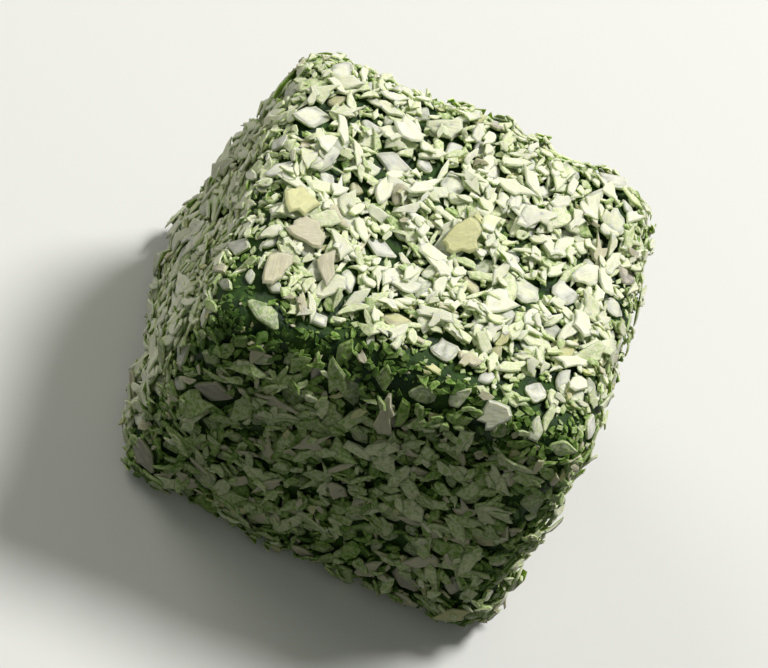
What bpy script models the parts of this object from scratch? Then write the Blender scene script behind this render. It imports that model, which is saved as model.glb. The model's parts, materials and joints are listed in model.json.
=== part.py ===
"""Mint Turkish delight: one soft block of mint jelly rolled in desiccated coconut.

Metres, +Z up. The block rests on its flat base, with the origin at the middle of the base,
its longest side along X and its front face towards -Y. The jelly and the largest coconut
chips are one solid, because the chips are stuck in the jelly.
"""

import math
import random

import bmesh
import bpy
from mathutils import Matrix, Vector, noise

MM = 0.001
NAME = "mint_turkish_delight"

# The block of jelly without its coconut: X, Y, Z
JELLY_SIZE = Vector((29.2, 26.2, 25.6)) * MM
EDGE_RADIUS = 2.4 * MM
GRID_FACETS = 10

# Brings the middle of the whole sweet, which leans, over the origin
MIDDLE_SHIFT = Vector((0.17, 0.1, 0.0)) * MM

# Each upright face: its axis and side, how far its middle swells, how far its upper edge bows
FACE_BOWS = (
    (0, +1, 0.6 * MM, 1.0 * MM),
    (0, -1, 0.1 * MM, -0.2 * MM),
    (1, -1, 0.3 * MM, -0.8 * MM),
    (1, +1, 0.3 * MM, 0.7 * MM),
)
TOP_DISH = 0.3 * MM

# Corners that the knife cut, or the box squeezed, out of square
CORNER_PULLS = (
    ((-1, +1, +1), Vector((0.3, 0.2, 0.3)) * MM),
    ((+1, +1, +1), Vector((0.0, 0.1, 0.1)) * MM),
    ((+1, -1, +1), Vector((-0.4, 0.4, 0.2)) * MM),
    ((-1, -1, +1), Vector((-0.1, -0.5, -0.3)) * MM),
    ((-1, -1, -1), Vector((0.0, 1.1, 0.0)) * MM),
    ((+1, -1, -1), Vector((0.9, -1.2, 0.0)) * MM),
    ((-1, +1, -1), Vector((-1.9, -0.6, 0.0)) * MM),
    ((+1, +1, -1), Vector((0.4, 0.4, 0.0)) * MM),
)

# Unevenness of the soft skin, as the size and depth of its lumps. The base is calm
LUMPS = ((9.0 * MM, 0.7 * MM), (3.4 * MM, 0.45 * MM))
LUMP_OFFSET = Vector((17.3, 5.1, 9.7))
CALM_HEIGHT = 5.0 * MM

# Coconut chips, the largest first
CHIP_SEED = 7
CHIP_COUNT = 350
CHIP_LONGEST = 4.0 * MM
CHIP_SHORTEST = 1.9 * MM
CHIP_UNEVEN_LENGTH = (0.85, 1.1)
CHIP_BREADTH_SHARE = (0.5, 0.9)
CHIP_THICKNESS = 0.75 * MM
CHIP_LIFT = 0.1 * MM
CHIP_CORNERS = (4, 4, 5)
CHIP_OUTLINE = (0.75, 1.12)
CHIP_TILT = math.radians(12)
CHIP_EDGE_ROOM = 1.0 * MM
CHIP_SPREAD = 0.95
CHIP_FLOOR_GAP = 0.25 * MM
MOST_TRIES = 600

FINEST_GAP = 0.002 * MM

JELLY_GREEN = (0.05, 0.17, 0.03)
COCONUT_CREAM = (0.75, 0.78, 0.58)


def clear_scene():
    for obj in list(bpy.data.objects):
        bpy.data.objects.remove(obj)


def new_collection(name):
    collection = bpy.data.collections.new(name)
    bpy.context.scene.collection.children.link(collection)
    return collection


def new_material(name, colour, roughness):
    material = bpy.data.materials.new(name)
    material.use_nodes = True
    shader = material.node_tree.nodes["Principled BSDF"]
    shader.inputs["Base Color"].default_value = (*colour, 1.0)
    shader.inputs["Roughness"].default_value = roughness
    shader.inputs["Metallic"].default_value = 0.0
    return material


def new_object(name, bm, material, collection):
    """Closes a bmesh into an object whose faces point out."""
    bm.normal_update()
    bmesh.ops.recalc_face_normals(bm, faces=bm.faces[:])
    mesh = bpy.data.meshes.new(name)
    bm.to_mesh(mesh)
    bm.free()
    mesh.materials.append(material)
    obj = bpy.data.objects.new(name, mesh)
    collection.objects.link(obj)
    return obj


def rounded(cube_point):
    """A point of the 2-unit cube's skin, moved to the block with its edges rounded."""
    half = JELLY_SIZE / 2
    point = Vector(c * h for c, h in zip(cube_point, half))
    inner = Vector(
        max(EDGE_RADIUS - h, min(h - EDGE_RADIUS, p)) for p, h in zip(point, half)
    )
    return inner + (point - inner).normalized() * EDGE_RADIUS


def bowed(point):
    """How far the swelling of the faces and the pull of the corners move a point."""
    share = [2 * p / s for p, s in zip(point, JELLY_SIZE)]
    height = (1 + share[2]) / 2
    move = Vector()
    for axis, side, belly, brim in FACE_BOWS:
        along = 1 - share[1 - axis] ** 2
        near = max(0.0, side * share[axis])
        swell = belly * (1 - share[2] ** 2) + brim * height**2
        move[axis] += side * near**2 * along * swell
    move.z -= TOP_DISH * height**4 * (1 - share[0] ** 2) * (1 - share[1] ** 2)
    for corner, pull in CORNER_PULLS:
        move += pull * math.prod((1 + c * s) / 2 for c, s in zip(corner, share))
    return move


def lumpy(point):
    """How far the lumps of the soft skin move a point."""
    move = Vector()
    for size, depth in LUMPS:
        for axis in range(3):
            place = point / size + LUMP_OFFSET * (axis + 1)
            move[axis] += depth * noise.noise(place)
    return move


def skin(cube_point):
    """Where a point of the 2-unit cube's skin lies on the jelly, whose base stays flat."""
    point = rounded(cube_point)
    height = point.z + JELLY_SIZE.z / 2
    calm = min(1.0, height / CALM_HEIGHT)
    moved = point + bowed(point) + lumpy(point) * calm + MIDDLE_SHIFT
    moved.z = max(0.0, moved.z + JELLY_SIZE.z / 2)
    return moved


def on_face(axis, side, s, t):
    """The point of the 2-unit cube's skin on one face, from two coordinates from -1 to 1."""
    point = [s, t]
    point.insert(axis, side)
    return Vector(point)


def skin_and_normal(axis, side, s, t):
    """A point of the jelly's skin on one of its faces, and the way that the skin faces there."""
    step = 0.03
    across = skin(on_face(axis, side, s + step, t)) - skin(on_face(axis, side, s - step, t))
    along = skin(on_face(axis, side, s, t + step)) - skin(on_face(axis, side, s, t - step))
    normal = across.cross(along).normalized()
    point = skin(on_face(axis, side, s, t))
    return point, normal if normal[axis] * side > 0 else -normal


def jelly_block(material, collection):
    """The soft block: a cube cut into a grid, whose points are moved to the jelly's skin."""
    bm = bmesh.new()
    bmesh.ops.create_cube(bm, size=2)
    bmesh.ops.subdivide_edges(
        bm, edges=bm.edges[:], cuts=GRID_FACETS - 1, use_grid_fill=True
    )
    for vert in bm.verts:
        # The sine gives the rounded edges more facets than the flat middles
        vert.co = skin(Vector(math.sin(c * math.pi / 2) for c in vert.co))
    return new_object(NAME, bm, material, collection)


def chip_places(rng):
    """Yields each chip's point, facing, length and breadth, apart from the chips before it."""
    width, depth, height = JELLY_SIZE
    faces = {
        (2, +1): width * depth,
        (1, -1): width * height,
        (1, +1): width * height,
        (0, -1): depth * height,
        (0, +1): depth * height,
    }
    placed = []
    for index in range(CHIP_COUNT):
        length = CHIP_LONGEST * (CHIP_SHORTEST / CHIP_LONGEST) ** (index / CHIP_COUNT)
        length *= rng.uniform(*CHIP_UNEVEN_LENGTH)
        breadth = length * rng.uniform(*CHIP_BREADTH_SHARE)
        reach = math.sqrt(length * breadth) / 2
        for _ in range(MOST_TRIES):
            axis, side = rng.choices(list(faces), list(faces.values()))[0]
            s, t = rng.uniform(-1, 1), rng.uniform(-1, 1)
            point, normal = skin_and_normal(axis, side, s, t)
            # A large chip lies on the flat of a face, and does not bridge an edge
            room = CHIP_EDGE_ROOM + min(1 - abs(s), 1 - abs(t)) * min(JELLY_SIZE) / 2
            clear = reach < room and all(
                (point - other).length > CHIP_SPREAD * (reach + far)
                for other, far in placed
            )
            if clear and point.z > 2 * CHIP_FLOOR_GAP:
                placed.append((point, reach))
                yield point, normal, length, breadth
                break


def coconut_chip(rng, index, place, material, collection):
    """One flat splinter of coconut with an uneven outline, half sunk in the jelly."""
    point, normal, length, breadth = place
    bm = bmesh.new()
    ring = bmesh.ops.create_circle(
        bm, cap_ends=True, segments=rng.choice(CHIP_CORNERS), radius=0.5
    )
    for vert in ring["verts"]:
        uneven = rng.uniform(*CHIP_OUTLINE)
        vert.co = Vector((vert.co.x * length, vert.co.y * breadth, 0)) * uneven
    extruded = bmesh.ops.extrude_face_region(bm, geom=bm.faces[:])
    top = [part for part in extruded["geom"] if isinstance(part, bmesh.types.BMVert)]
    bmesh.ops.translate(bm, verts=top, vec=(0, 0, CHIP_THICKNESS))
    lift = CHIP_LIFT - CHIP_THICKNESS / 2
    bm.transform(
        Matrix.Translation(point)
        @ normal.to_track_quat("Z", "Y").to_matrix().to_4x4()
        @ Matrix.Rotation(rng.uniform(0, 2 * math.pi), 4, "Z")
        @ Matrix.Rotation(rng.uniform(-CHIP_TILT, CHIP_TILT), 4, "Y")
        @ Matrix.Rotation(rng.uniform(-CHIP_TILT, CHIP_TILT), 4, "X")
        @ Matrix.Translation((0, 0, lift))
    )
    sunk = CHIP_FLOOR_GAP - min(vert.co.z for vert in bm.verts)
    if sunk > 0:
        bmesh.ops.translate(bm, verts=bm.verts[:], vec=(0, 0, sunk))
    return new_object(f"chip_{index:03d}", bm, material, collection)


def fuse(block, chips):
    """Joins the chips to the jelly in one union, and removes them once they are part of it."""
    union = block.modifiers.new("coconut", "BOOLEAN")
    union.operation = "UNION"
    union.operand_type = "COLLECTION"
    union.collection = chips
    union.solver = "EXACT"
    union.material_mode = "TRANSFER"
    graph = bpy.context.evaluated_depsgraph_get()
    fused = bpy.data.meshes.new_from_object(block.evaluated_get(graph))
    block.modifiers.clear()
    block.data = fused
    for chip in list(chips.objects):
        bpy.data.objects.remove(chip)
    bpy.data.collections.remove(chips)


def shells_of(bm):
    """The mesh's separate shells, each a list of the faces that join along edges."""
    waiting = dict.fromkeys(bm.faces)
    shells = []
    while waiting:
        border = [waiting.popitem()[0]]
        shell = []
        while border:
            face = border.pop()
            shell.append(face)
            for edge in face.edges:
                for other in edge.link_faces:
                    if other in waiting:
                        del waiting[other]
                        border.append(other)
        shells.append(shell)
    return shells


def keep_one_shell(block):
    """Closes the finest gaps, fills sealed hollows and drops any chip that missed the jelly."""
    bm = bmesh.new()
    bm.from_mesh(block.data)
    bmesh.ops.remove_doubles(bm, verts=bm.verts[:], dist=FINEST_GAP)
    bmesh.ops.dissolve_degenerate(bm, edges=bm.edges[:], dist=FINEST_GAP)
    for shell in sorted(shells_of(bm), key=len)[:-1]:
        bmesh.ops.delete(bm, geom=shell, context="FACES")
    bm.to_mesh(block.data)
    bm.free()


def main():
    clear_scene()
    confection = new_collection(NAME)
    chips = new_collection("coconut_chips")
    jelly = new_material("mint_jelly", JELLY_GREEN, 0.35)
    coconut = new_material("coconut", COCONUT_CREAM, 0.7)
    block = jelly_block(jelly, confection)
    rng = random.Random(CHIP_SEED)
    for index, place in enumerate(list(chip_places(rng))):
        coconut_chip(rng, index, place, coconut, chips)
    fuse(block, chips)
    keep_one_shell(block)
    block.data.shade_smooth()
    block.data.set_sharp_from_angle(angle=math.radians(35))


main()
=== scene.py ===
"""Mint Turkish delight: the looks of one soft block of mint jelly rolled in desiccated coconut.

Metres, +Z up. The jelly, its largest coconut chips, and the finer coconut that fills the
gaps between them are separate pieces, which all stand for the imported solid.
"""

import functools
import json
import math
import random

import bmesh
import bpy
import numpy as np
from bpy.props import FloatProperty, FloatVectorProperty, IntProperty, PointerProperty
from mathutils import Matrix, Vector, noise

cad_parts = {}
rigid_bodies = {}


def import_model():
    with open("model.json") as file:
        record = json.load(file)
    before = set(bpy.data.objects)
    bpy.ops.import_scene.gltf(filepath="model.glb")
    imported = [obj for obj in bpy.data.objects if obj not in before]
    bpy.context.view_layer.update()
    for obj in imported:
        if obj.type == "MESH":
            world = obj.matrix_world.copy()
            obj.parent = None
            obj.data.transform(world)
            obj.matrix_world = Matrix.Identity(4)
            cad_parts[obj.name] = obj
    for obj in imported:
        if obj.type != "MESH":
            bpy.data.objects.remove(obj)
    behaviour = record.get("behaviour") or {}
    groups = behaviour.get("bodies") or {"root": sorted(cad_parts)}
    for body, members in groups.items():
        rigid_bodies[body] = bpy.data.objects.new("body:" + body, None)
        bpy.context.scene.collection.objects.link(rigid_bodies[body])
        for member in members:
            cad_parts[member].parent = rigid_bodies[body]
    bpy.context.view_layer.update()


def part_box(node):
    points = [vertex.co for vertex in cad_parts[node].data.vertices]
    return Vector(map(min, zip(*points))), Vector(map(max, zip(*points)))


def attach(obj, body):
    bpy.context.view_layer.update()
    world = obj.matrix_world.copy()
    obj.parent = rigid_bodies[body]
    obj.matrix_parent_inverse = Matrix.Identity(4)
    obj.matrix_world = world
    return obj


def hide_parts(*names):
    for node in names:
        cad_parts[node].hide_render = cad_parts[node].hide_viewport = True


bl_info = {
    "name": "Mint Turkish Delight",
    "version": (1, 0, 0),
    "blender": (4, 5, 0),
    "location": "View3D > Sidebar > Turkish Delight",
    "description": "Dresses one coconut-coated block of mint Turkish delight",
    "category": "Object",
}

MM = 0.001
NODE = "mint_turkish_delight"

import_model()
NODE_LOW, NODE_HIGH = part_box(NODE)

# Each upright face: its axis and side, how far its middle swells, how far its upper edge bows
FACE_BOWS = (
    (0, +1, 0.6 * MM, 1.0 * MM),
    (0, -1, 0.1 * MM, -0.2 * MM),
    (1, -1, 0.3 * MM, -0.8 * MM),
    (1, +1, 0.3 * MM, 0.7 * MM),
)
TOP_DISH = 0.3 * MM

# Corners that the knife cut, or the box squeezed, out of square
CORNER_PULLS = (
    ((-1, +1, +1), Vector((0.3, 0.2, 0.3)) * MM),
    ((+1, +1, +1), Vector((0.0, 0.1, 0.1)) * MM),
    ((+1, -1, +1), Vector((-0.4, 0.4, 0.2)) * MM),
    ((-1, -1, +1), Vector((-0.1, -0.5, -0.3)) * MM),
    ((-1, -1, -1), Vector((0.0, 1.1, 0.0)) * MM),
    ((+1, -1, -1), Vector((0.9, -1.2, 0.0)) * MM),
    ((-1, +1, -1), Vector((-1.9, -0.6, 0.0)) * MM),
    ((+1, +1, -1), Vector((0.4, 0.4, 0.0)) * MM),
)

# Unevenness of the soft skin, as the size and depth of its lumps. The base is calm
LUMPS = ((9.0 * MM, 0.7 * MM), (3.4 * MM, 0.45 * MM))
LUMP_OFFSET = Vector((17.3, 5.1, 9.7))
CALM_HEIGHT = 5.0 * MM
MIDDLE_SHIFT = Vector((0.17, 0.1, 0.0)) * MM

# Dimples of the jelly itself, which show in the gaps between the flakes
DIMPLES = ((1.6 * MM, 0.12 * MM), (0.6 * MM, 0.05 * MM))
JELLY_FACETS = 72

# The jelly lies on the coconut under it, a little off the floor
BASE_RISE = 0.22 * MM

# How far apart the points are, on a 2-unit cube, by which the skin's slope is measured
SLOPE_STEP = 0.03

# The nearly bare strip along the top's front edge, which fades to the right, and its corner. Its
# dark green is partly painted shade where the edge turns away from the light
BARE_FRONT_REACH, BARE_FRONT_INSET = 3.6 * MM, 1.6 * MM
BARE_FRONT_FADE = 0.55
BARE_CORNER_REACH = 4.8 * MM

# The thinner strip along the top's left edge
BARE_LEFT_REACH, BARE_LEFT_INSET = 1.5 * MM, 0.9 * MM
BARE_LEFT_SHARE = 0.65

# Patches where the coconut lies thinner, and small gaps in it
BARE_PATCH_SIZE, BARE_PATCH_SHARE = 4.5 * MM, 0.1
BARE_GAP_SIZE, BARE_GAP_SHARE = 0.9 * MM, 0.8

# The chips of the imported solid, which keep their places
CHIP_SEED = 7
CHIP_COUNT = 350
CHIP_LONGEST = 4.0 * MM
CHIP_SHORTEST = 1.9 * MM
CHIP_UNEVEN_LENGTH = (0.85, 1.1)
CHIP_BREADTH_SHARE = (0.5, 0.9)
CHIP_CORNERS = (4, 4, 5)
CHIP_OUTLINE = (0.75, 1.12)
CHIP_TILT = math.radians(12)
CHIP_EDGE_ROOM = 1.0 * MM
CHIP_SPREAD = 0.95
CHIP_FLOOR_GAP = 0.25 * MM
MOST_TRIES = 600

# The chips' finish: lobes, a domed lid and a bend. Cuts and wave depth are in millimetres
CHIP_FINISH_SEED = 11
CHIP_TRIM = 0.88
CHIP_CORNER_CUT = (0.2, 0.45)
CHIP_LOBE_SIZE, CHIP_LOBE_MEAN, CHIP_LOBE_DEPTH = 0.7 * MM, 1.03, 0.4
CHIP_LID_STEPS = ((1, 0.55), (0.86, 0.35), (0.55, 0.1))
CHIP_BEND = (-0.12, 0.1)
CHIP_WAVE_SIZE, CHIP_WAVE_DEPTH = 0.9 * MM, 0.16
CHIP_LIFT = 0.05 * MM
CHIP_CREASE = math.radians(48)
CHIP_GRAIN = (0.35, 1.6)
CHIP_HEIGHT_SHARE = 0.8
CHIP_ODD_SHARE = 0.04

# The coat's height map: its cells, its uneven depth, and how high and wide the chips lie in it
COAT_CELL = 0.13 * MM
COAT_LIMIT = 1.15 * MM
COAT_WAVE, COAT_WAVE_SIZE = 0.4, 2.2 * MM
LOOSE_LIMIT = 1.6 * MM
CHIP_TOP = 0.42 * MM
CHIP_COVER = 0.9

# A flake needs this many cells to rest on, and chips may bear this share of them
FEWEST_CELLS, MOST_ON_CHIPS = 2, 0.55

# It lies above the mean of a rough bed, tilts only so far, and its curl holds others up
BED_ROUGHNESS = 0.65
STEEPEST = math.tan(math.radians(17))
CURL_ROOM = 1.2

# Keeps a slope finite where a flake covers a single row of cells
TINY = 1e-12

# A long flake breaks off a rounded edge, and falls off a bare place
EDGE_ZONE = 0.88
EDGE_LONGEST = 1.5 * MM
FIRM_LENGTH = 1.5 * MM

# How flakes lie under the sweet and clear the floor at its foot. Spreads are in millimetres
PRESSED_FLAT = 0.01 * MM
UNDERSIDE_SPREAD = (0, 0.14)
FOOT_SPREAD = (0, 0.1)
HANG_SHARE = 0.62

# A loose flake's outline at unit length: its lobes, and how uneven and lopsided it is
OUTLINE_RADIUS = 0.53
LOBE_DEPTH, LOBE_COUNT = 0.72, 2.8
OUTLINE_JITTER = (0.76, 1.1)
CORNER_SWING = 0.9
MOST_TAPER = 0.9
MOST_SKEW = 0.35

# How each softness of flake rises from its outline: the share of its size, and of its thickness
LID_STEPS = (
    ((0.94, 1.0),),
    ((0.86, 1.0),),
    ((1.0, 0.35), (0.82, 0.65)),
)

# How a flake dries out of shape: its ends rise, its corners twist, and it crumples
FLATTEST_BEND = 0.15
END_RISE, MIDDLE_DIP = 4, 0.4
CORNER_TWIST = 3
CRUMPLE, CRUMPLE_COUNT = 1.6, 2.4
CREASES = (math.radians(45), math.radians(70))
GRAIN_ALONG, GRAIN_ACROSS = 0.7, 3.0

# How wide the part of a noise is in which each flake has its own place
NOISE_ROOM = 50
CHIP_NOISE_ROOM = 90

# Shades of coconut, as positions on the colour ramp of its material
GREENEST, PALEST = 0.0, 0.88
FAINT_YELLOW, YELLOW_SHADE, ROSY_SHADE = 0.928, 0.935, 0.99

# The usual shade of the lowest flakes, how it rises with height, and its spread. Deeper flakes are
# greener and darker: partly soaked green, partly painted shade between the flakes
LOW_SHADE, SHADE_RISE, SHADE_SPREAD = 0.36, 0.58, 0.15

# Green flakes differ less from each other, up to this much green
GREEN_CALM, MOST_CALMED = 0.2, 0.5

# The front side, greener and darker: partly coconut that took up green from moist neighbours,
# partly painted shade on the side that faces away from the light
MOIST_SHADED_SIDE = Vector((0.1, -0.97, -0.2))
MOIST_SHADED_GREEN = 0.54

# How many rosy flakes there are to each yellow one, and how many more on the moist front side,
# which is also painted in shade
DRY_ROSY, MOIST_SHADED_ROSY = 1, 3

# The green that the coconut takes up where the jelly is barer than this, partly painted shade
# along the top's front edge
BARE_GREEN, BARE_ENOUGH = 0.5, 0.4

# Flakes that stand out on the top: middle, length, breadth, turn and shade
LANDMARKS = (
    ((1.1 * MM, 0.8 * MM), 3.1 * MM, 2.9 * MM, math.radians(30), YELLOW_SHADE),
    ((-11.6 * MM, -1.6 * MM), 3.0 * MM, 2.7 * MM, math.radians(70), FAINT_YELLOW),
    ((-10.4 * MM, -3.6 * MM), 3.2 * MM, 2.0 * MM, math.radians(26), ROSY_SHADE),
    ((-12.0 * MM, -8.1 * MM), 3.3 * MM, 1.7 * MM, math.radians(103), ROSY_SHADE),
    ((7.4 * MM, -13.1 * MM), 2.4 * MM, 2.0 * MM, math.radians(20), PALEST),
)
LANDMARK_LIFT = 0.12 * MM
LANDMARK_CORNERS = 15

# The size and tint of each light. Its power and its place are settings
LIGHTS = {
    "key": (0.18, (1.0, 0.99, 0.95)),
    "fill": (0.4, (1.0, 1.0, 0.91)),
    "glow": (0.5, (0.86, 1.0, 0.8)),
}
LIGHT_DISTANCE = 0.6

# The soft sky, which grows from its low to its full strength between two heights
SKY_COLOUR = (0.97, 1.0, 0.89, 1)
SKY_FOOT, SKY_HEAD = -0.2, 0.9

# The floor's half width, and how far it lies below the sweet
FLOOR_HALF = 1.5
FLOOR_DROP = 0.02 * MM

# The camera's frame, in millimetres, and the nearest that it sees
SENSOR_WIDTH = 36
NEAREST_SEEN = 0.01

# Sockets of a Mix node that mixes colours
FIRST_COLOUR, SECOND_COLOUR, MIXED = 6, 7, 2

UPRIGHT_AND_TOP = ((2, +1), (1, -1), (1, +1), (0, -1), (0, +1))
BASE = (2, -1)
ALL_FACES = (*UPRIGHT_AND_TOP, BASE)

# A flake whose patch of skin faces down more than this lies under the sweet
FLAT_BELOW = -0.8


def length(name, description, default, **more):
    """A property that holds one length, or the shortest and longest of a kind."""
    kind = FloatVectorProperty if isinstance(default, tuple) else FloatProperty
    if isinstance(default, tuple):
        more["size"] = len(default)
    return kind(
        name=name, description=description, default=default, unit="LENGTH", precision=5, **more
    )


def colour(name, description, default):
    """A property that holds one colour."""
    return FloatVectorProperty(
        name=name, description=description, default=default, subtype="COLOR", min=0, max=1
    )


def number(name, description, default):
    """A property that holds how many there are of a kind."""
    return IntProperty(name=name, description=description, default=default, min=1)


def angle(name, description, degrees):
    """A property that holds one angle."""
    return FloatProperty(
        name=name, description=description, default=math.radians(degrees), subtype="ANGLE"
    )


def power(name, description, watts):
    """A property that holds the power of one light."""
    return FloatProperty(
        name=name, description=description, default=watts, subtype="POWER", unit="POWER"
    )


class JellySettings(bpy.types.PropertyGroup):
    """Size and colour of the jelly under the coconut."""

    size: length(
        "Size",
        "Length, depth and height of the block without its coconut",
        (29.2 * MM, 26.2 * MM, 25.6 * MM),
    )
    edge_radius: length("Edge radius", "How round the block's soft edges are", 2.4 * MM)
    deep_green: colour(
        "Deep green", "Jelly where it is thick and moist", (0.008, 0.026, 0.006)
    )
    pale_green: colour(
        "Pale green", "Jelly where starch and fine coconut dull it", (0.045, 0.1, 0.018)
    )


class CoconutSettings(bpy.types.PropertyGroup):
    """Sizes, numbers and colours of the desiccated coconut."""

    chip_thickness: length("Chip thickness", "Thickness of the largest chips", 0.34 * MM)
    flake_count: number("Flakes", "Broad flakes that lie on top", 6200)
    flake_length: length(
        "Flake length", "Shortest and longest broad flake", (0.9 * MM, 3.0 * MM)
    )
    shard_count: number("Shards", "Narrower pointed flakes", 5400)
    shard_length: length(
        "Shard length", "Shortest and longest shard", (0.7 * MM, 1.8 * MM)
    )
    sliver_count: number("Slivers", "Long thin shreds", 2200)
    sliver_length: length(
        "Sliver length", "Shortest and longest sliver", (1.3 * MM, 3.0 * MM)
    )
    curl_count: number("Curls", "Small thin flakes that curled as they dried", 2300)
    curl_length: length("Curl length", "Shortest and longest curl", (0.7 * MM, 1.6 * MM))
    fine_count: number("Fines", "Tries to strew a small bit on a bare place", 13000)
    fine_length: length("Fine length", "Shortest and longest fine bit", (0.22 * MM, 0.85 * MM))
    crumb_count: number("Crumbs", "Small broken bits between the flakes", 8000)
    crumb_length: length(
        "Crumb length", "Shortest and longest crumb", (0.4 * MM, 0.95 * MM)
    )
    dust_count: number("Dust", "Grains of coconut dust on the jelly", 4500)
    dust_length: length(
        "Dust length", "Smallest and largest grain of dust", (0.12 * MM, 0.36 * MM)
    )
    soaked: colour("Soaked", "Coconut that the jelly has soaked through", (0.11, 0.19, 0.045))
    tinted: colour("Tinted", "Coconut that has soaked up mint colour", (0.3, 0.42, 0.13))
    cream: colour("Cream", "Most of the coconut", (0.885, 0.925, 0.63))
    white: colour("White", "The driest coconut", (0.925, 0.95, 0.7))
    yellow: colour("Yellow", "The odd riper flake", (0.68, 0.67, 0.37))
    rosy: colour("Rosy grey", "The odd flake with a trace of brown skin", (0.66, 0.62, 0.46))
    # Tint of the painted shade under each flake, partly a green stain, and of the green specks
    shade_and_stain_tint: colour(
        "Rim tint", "What undersides and moist specks are multiplied by", (0.34, 0.54, 0.12)
    )


class StageSettings(bpy.types.PropertyGroup):
    """Floor, light and camera."""

    floor_colour: colour("Floor", "Colour of the plain floor", (0.72, 0.72, 0.715))
    key_power: power("Key power", "Power of the main light", 3.75)
    fill_power: power("Fill power", "Power of the broad light on the left", 1.0)
    glow_power: power("Glow power", "Power of the faint light from the front", 0.19)
    key_azimuth: angle("Key azimuth", "Where the main light stands round the sweet", 140)
    key_elevation: angle("Key elevation", "How high the main light stands", 58)
    fill_azimuth: angle("Fill azimuth", "Where the broad light stands round the sweet", -118)
    fill_elevation: angle("Fill elevation", "How high the broad light stands", 33)
    glow_azimuth: angle("Glow azimuth", "Where the faint light stands round the sweet", -20)
    glow_elevation: angle("Glow elevation", "How high the faint light stands", 35)
    sky_strength: FloatProperty(
        name="Sky strength", description="Soft light from straight above", default=0.21, min=0
    )
    low_sky_share: FloatProperty(
        name="Low sky", description="The soft light from below, as a share", default=0.14, min=0
    )
    camera_azimuth: angle("Camera azimuth", "Where the camera stands", -14.1)
    camera_elevation: angle("Camera elevation", "How far the camera looks down", 51.5)
    camera_roll: angle("Camera roll", "How far the camera turns in its own plane", 33.6)
    camera_distance: length(
        "Camera distance", "From the camera to the middle of the sweet", 319 * MM
    )
    camera_lens: FloatProperty(
        name="Focal length",
        description="Focal length on a 36 mm wide frame",
        default=195,
        subtype="DISTANCE_CAMERA",
        unit="CAMERA",
    )


class JellySkin:
    """The shape of the jelly's skin, as a rule that moves the skin of a 2-unit cube."""

    def __init__(self, settings):
        self.size = Vector(settings.size)
        self.radius = settings.edge_radius

    def rounded(self, cube_point):
        """A point of the 2-unit cube's skin, moved to the block with its edges rounded."""
        half = self.size / 2
        point = Vector(c * h for c, h in zip(cube_point, half))
        inner = Vector(
            max(self.radius - h, min(h - self.radius, p)) for p, h in zip(point, half)
        )
        return inner + (point - inner).normalized() * self.radius

    def bowed(self, point):
        """How far the swelling of the faces and the pull of the corners move a point."""
        share = [2 * p / s for p, s in zip(point, self.size)]
        height = (1 + share[2]) / 2
        move = Vector()
        for axis, side, belly, brim in FACE_BOWS:
            along = 1 - share[1 - axis] ** 2
            near = max(0.0, side * share[axis])
            swell = belly * (1 - share[2] ** 2) + brim * height**2
            move[axis] += side * near**2 * along * swell
        move.z -= TOP_DISH * height**4 * (1 - share[0] ** 2) * (1 - share[1] ** 2)
        for corner, pull in CORNER_PULLS:
            move += pull * math.prod((1 + c * s) / 2 for c, s in zip(corner, share))
        return move

    def lumpy(self, point, lumps=LUMPS):
        """How far the lumps of the soft skin move a point."""
        move = Vector()
        for size, depth in lumps:
            for axis in range(3):
                place = point / size + LUMP_OFFSET * (axis + 1)
                move[axis] += depth * noise.noise(place)
        return move

    def at(self, cube_point):
        """Where a point of the 2-unit cube's skin lies on the jelly, whose base stays flat."""
        point = self.rounded(cube_point)
        height = point.z + self.size.z / 2
        calm = min(1.0, height / CALM_HEIGHT)
        moved = point + self.bowed(point) + self.lumpy(point) * calm + MIDDLE_SHIFT
        moved.z = max(0.0, moved.z + self.size.z / 2)
        return moved

    def on_face(self, face, s, t):
        """A point of one face of the jelly, from two coordinates from -1 to 1."""
        axis, side = face
        point = [s, t]
        point.insert(axis, side)
        return self.at(Vector(point))

    def slopes(self, face, s, t):
        """The skin's direction as s grows, and its outward normal, at a point of a face."""
        left, right = s - SLOPE_STEP, s + SLOPE_STEP
        low, high = t - SLOPE_STEP, t + SLOPE_STEP
        across = self.on_face(face, right, t) - self.on_face(face, left, t)
        along = self.on_face(face, s, high) - self.on_face(face, s, low)
        normal = across.cross(along).normalized()
        axis, side = face
        if normal[axis] * side < 0:
            normal = -normal
        return across.normalized(), normal


def face_areas(size, faces):
    """The rough area of each face, by which flakes are shared out."""
    width, depth, height = size
    areas = (depth * height, width * height, width * depth)
    return [areas[axis] for axis, side in faces]


@functools.cache
def jelly_skin():
    """The jelly's skin, at the size that the settings give."""
    return JellySkin(bpy.context.scene.mint_jelly)


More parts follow.
